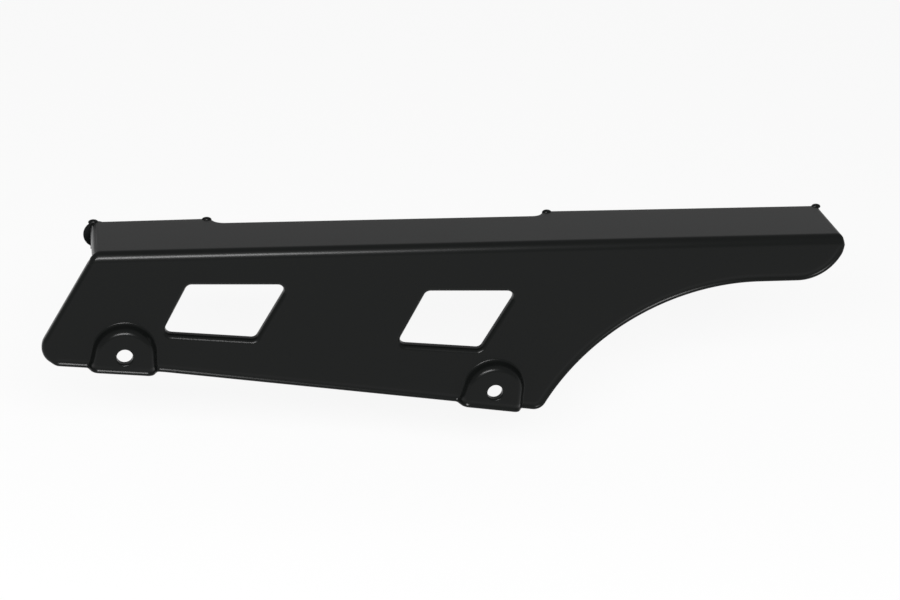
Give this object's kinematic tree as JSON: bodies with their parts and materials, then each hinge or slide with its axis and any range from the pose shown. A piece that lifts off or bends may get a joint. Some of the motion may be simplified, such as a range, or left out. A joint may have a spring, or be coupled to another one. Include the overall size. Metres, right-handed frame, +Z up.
{
  "type": "motorcycle chain guard",
  "caption": "Pressed sheet chain guard: tall side plate with slanted windows and bolt bosses, top flange with a far lip.",
  "frame": {"origin": "middle of the front bolt hole, where its straight wall starts 1.3 mm behind the boss face", "axes": "+X back along the fold, +Z up to the top flange, -Y out of the side plate's face"},
  "size_m": [0.5153, 0.062, 0.1196],
  "materials": {
    "satin_black": "satin black paint with a fine grain"
  },
  "bodies": {
    "root": {"chain_guard": "satin_black"}
  },
  "joints": []
}
